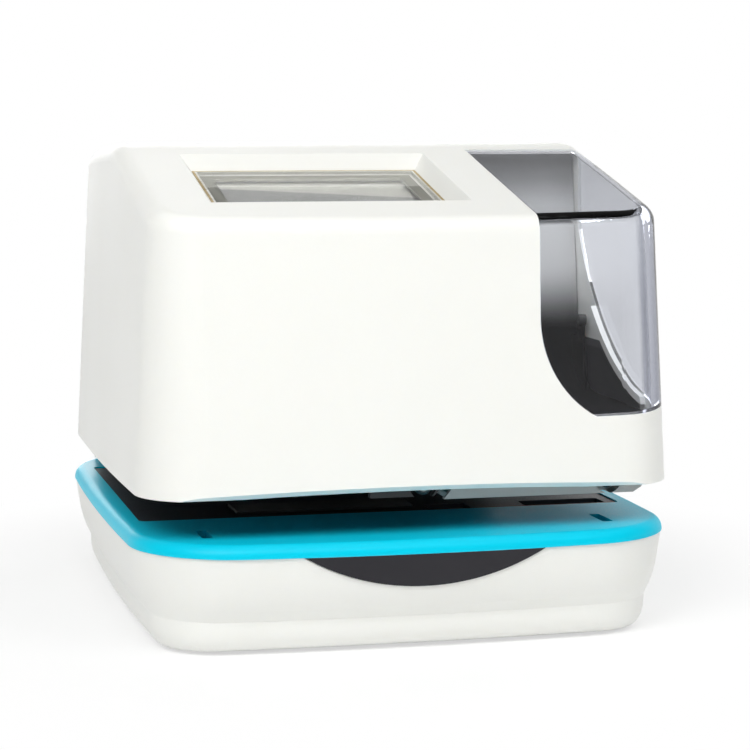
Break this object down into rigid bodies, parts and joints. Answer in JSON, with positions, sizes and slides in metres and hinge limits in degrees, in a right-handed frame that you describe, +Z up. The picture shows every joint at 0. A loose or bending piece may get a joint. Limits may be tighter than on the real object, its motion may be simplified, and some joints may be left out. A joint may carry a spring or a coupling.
{
  "type": "time stamp machine",
  "caption": "Desk date and time stamp machine: drafted head with display and clear corner window over an open paper throat, on a base with a coloured collar.",
  "frame": {"origin": "on the desk under the middle of the machine, level with the undersides of its feet", "axes": "-Y to the front (the long plain face), +X to the right (the window side), +Z up"},
  "size_m": [0.1518, 0.188, 0.1333],
  "materials": {
    "white_shell": "satin moulded plastic, warm white",
    "collar_blue": "satin moulded plastic, bright cyan",
    "dark_panel": "fine matt charcoal",
    "smoke_clear": "smoked clear moulded plastic",
    "clear_lens": "clear cast sheet",
    "gold_trim": "satin",
    "mask_white": "printed",
    "bezel_dark": "satin",
    "display_cell": "liquid crystal cell",
    "apron_grey": "fine grained",
    "steel": "bright plated",
    "plated_sheet": "zinc plated sheet",
    "head_metal": "die cast",
    "brass_gear": "cut",
    "white_gear": "acetal",
    "black_plastic": "moulded",
    "rubber_black": "matt",
    "ribbon_ink": "inked woven nylon",
    "board_green": "solder mask",
    "cell_wrap": "shrink film",
    "key_grey": "moulded",
    "plate_grey": "powder coat"
  },
  "bodies": {
    "base": {"base_tray": "white_shell", "front_badge": "dark_panel", "bottom_plate": "plate_grey", "rubber_feet": "rubber_black", "bottom_screws": "steel", "main_board": "board_green", "backup_cells": "cell_wrap", "power_inlet": "black_plastic", "deck_collar": "collar_blue", "table_insert": "dark_panel", "platen_pad": "rubber_black", "rear_column": "white_shell", "column_screws": "steel", "chassis_pan": "plated_sheet", "apron_cover": "apron_grey", "ribbon_guard": "black_plastic", "apron_studs": "apron_grey", "frame_cheeks": "plated_sheet", "guide_rods": "steel", "motor_shelf": "plated_sheet", "pulley_pins": "steel", "drive_belt": "rubber_black", "drive_motor": "steel", "cassette_case": "black_plastic", "cassette_lid": "black_plastic", "ink_ribbon": "ribbon_ink", "ribbon_motor": "steel", "cassette_bridge": "plated_sheet", "control_board": "board_green", "display_bezel": "bezel_dark", "display_glass": "display_cell", "key_panel": "black_plastic", "display_bracket": "plated_sheet", "trigger_pin": "steel", "trigger_sensor": "black_plastic"},
    "cover": {"head_cover": "white_shell", "viewing_window": "smoke_clear", "lens_trim": "gold_trim", "display_lens": "clear_lens", "display_mask": "mask_white", "inner_liner": "dark_panel", "lock_barrel": "steel"},
    "lock": {"lock_cylinder": "brass_gear", "lock_cam": "plated_sheet"},
    "carriage": {"print_carriage": "black_plastic", "print_head": "head_metal"},
    "drive": {"drive_gear": "white_gear"},
    "idler": {"idler_pulley": "white_gear"},
    "pinion": {"motor_pinion": "brass_gear"},
    "takeup": {"takeup_hub": "white_gear", "takeup_roll": "ribbon_ink", "ribbon_gear": "white_gear"},
    "supply": {"supply_hub": "white_gear", "supply_roll": "ribbon_ink"},
    "ribbon_drive": {"ribbon_pinion": "brass_gear"},
    "trigger": {"trigger_lever": "black_plastic"},
    "key_1": {"setting_key_1": "key_grey"},
    "key_2": {"setting_key_2": "key_grey"},
    "key_3": {"setting_key_3": "key_grey"},
    "key_4": {"setting_key_4": "key_grey"}
  },
  "joints": [
    {"name": "cover_lift", "type": "slide", "parent": "base", "child": "cover", "axis": [0, 0, 1], "range_m": [0, 0.1]},
    {"name": "lock_turn", "type": "hinge", "parent": "cover", "child": "lock", "pos_m": [0, 0.08, 0.076], "axis": [0, 1, 0], "range_deg": [0, 90]},
    {"name": "carriage_slide", "type": "slide", "parent": "base", "child": "carriage", "axis": [1, 0, 0], "range_m": [-0.016, 0.016]},
    {"name": "drive_spin", "type": "hinge", "parent": "base", "child": "drive", "pos_m": [-0.0495, 0.03, 0.05], "axis": [0, 0, 1], "range_deg": [-184, 184]},
    {"name": "idler_spin", "type": "hinge", "parent": "base", "child": "idler", "pos_m": [0.028, 0.03, 0.05], "axis": [0, 0, 1], "range_deg": [-184, 184]},
    {"name": "pinion_spin", "type": "hinge", "parent": "base", "child": "pinion", "pos_m": [-0.0495, 0.042, 0.058], "axis": [0, 0, 1], "range_deg": [-551, 551]},
    {"name": "takeup_spin", "type": "hinge", "parent": "base", "child": "takeup", "pos_m": [0.006, -0.03, 0.0785], "axis": [0, 1, 0], "continuous": true},
    {"name": "supply_spin", "type": "hinge", "parent": "base", "child": "supply", "pos_m": [-0.038, -0.03, 0.0785], "axis": [0, 1, 0], "continuous": true},
    {"name": "ribbon_pinion_spin", "type": "hinge", "parent": "base", "child": "ribbon_drive", "pos_m": [-0.0045, -0.016, 0.0785], "axis": [0, 1, 0], "continuous": true},
    {"name": "trigger_swing", "type": "hinge", "parent": "base", "child": "trigger", "pos_m": [-0.015, 0.062, 0.05], "axis": [1, 0, 0], "range_deg": [0, 22], "stiffness_Nm_per_rad": 0.002, "springref_deg": -11.46},
    {"name": "key_1_press", "type": "slide", "parent": "base", "child": "key_1", "axis": [0, 0.2233, -0.9748], "range_m": [0, 0.0006], "stiffness_N_per_m": 300, "springref_m": -0.0005},
    {"name": "key_2_press", "type": "slide", "parent": "base", "child": "key_2", "axis": [0, 0.2233, -0.9748], "range_m": [0, 0.0006], "stiffness_N_per_m": 300, "springref_m": -0.0005},
    {"name": "key_3_press", "type": "slide", "parent": "base", "child": "key_3", "axis": [0, 0.2233, -0.9748], "range_m": [0, 0.0006], "stiffness_N_per_m": 300, "springref_m": -0.0005},
    {"name": "key_4_press", "type": "slide", "parent": "base", "child": "key_4", "axis": [0, 0.2233, -0.9748], "range_m": [0, 0.0006], "stiffness_N_per_m": 300, "springref_m": -0.0005}
  ],
  "couplings": [
    {"joint": "drive_spin", "follows": "carriage_slide", "rad_per_m": 200},
    {"joint": "idler_spin", "follows": "carriage_slide", "rad_per_m": 200},
    {"joint": "pinion_spin", "follows": "carriage_slide", "rad_per_m": -600},
    {"joint": "supply_spin", "follows": "takeup_spin", "ratio": 0.81818},
    {"joint": "ribbon_pinion_spin", "follows": "takeup_spin", "ratio": -3.2}
  ]
}
